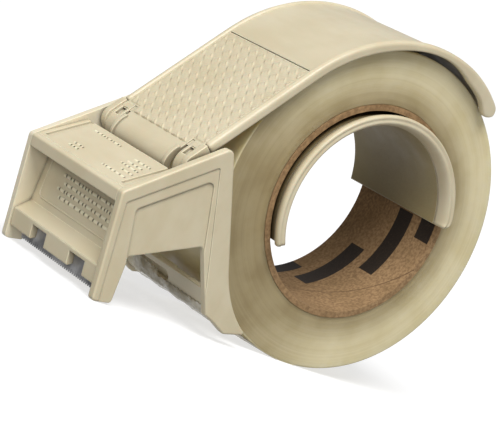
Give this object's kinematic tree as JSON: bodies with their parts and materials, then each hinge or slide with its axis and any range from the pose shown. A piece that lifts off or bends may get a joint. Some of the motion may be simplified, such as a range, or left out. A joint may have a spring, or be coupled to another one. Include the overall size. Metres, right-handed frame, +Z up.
{
  "type": "tape gun dispenser",
  "caption": "Palm-held dispenser that feeds box-sealing tape from a roll on an open hub and tears it on a guarded toothed blade.",
  "frame": {"origin": "centre of the bounding box, on the plane that the two legs and the roll stand on", "axes": "+X from the blade towards the tail, +Y towards the closed side that carries the hub, +Z up, square to the plane it stands on"},
  "size_m": [0.165, 0.0658, 0.1258],
  "materials": {
    "handle_plastic": "satin moulded ABS, putty beige",
    "head_plastic": "satin moulded ABS, putty beige",
    "grip_texture": "moulded woven non-slip pattern",
    "blade_steel": "stamped and ground",
    "core_board": "kraft, spiral wound, with plain printed blocks",
    "tape_wound": "layered clear film edge",
    "tape_film": "clear adhesive film"
  },
  "bodies": {
    "handle": {"arch_shell": "handle_plastic", "grip_plate": "handle_plastic", "grip_pad": "grip_texture", "near_edge_bead": "handle_plastic", "far_edge_bead": "handle_plastic", "spring_tongue": "handle_plastic", "near_hinge_arm": "handle_plastic", "far_hinge_arm": "handle_plastic", "side_plate": "handle_plastic", "hub_sleeve": "handle_plastic", "hub_lip": "handle_plastic", "tape_span": "tape_film"},
    "head": {"near_side_wall": "head_plastic", "far_side_wall": "head_plastic", "top_plate": "head_plastic", "front_band": "head_plastic", "window_panel": "head_plastic", "blade_bar": "head_plastic", "blade": "blade_steel", "guide_bar": "head_plastic", "near_pivot_pin": "head_plastic", "far_pivot_pin": "head_plastic", "tape_end": "tape_film"},
    "roll": {"tape_core": "core_board", "tape_winding": "tape_wound"}
  },
  "joints": [
    {"name": "roll_spin", "type": "hinge", "parent": "handle", "child": "roll", "pos_m": [0.02211, 0, 0.06035], "axis": [0, 1, 0], "continuous": true},
    {"name": "head_pivot", "type": "hinge", "parent": "handle", "child": "head", "pos_m": [-0.05616, 0, 0.05341], "axis": [0, -1, 0], "range_deg": [0, 4], "stiffness_Nm_per_rad": 6}
  ]
}
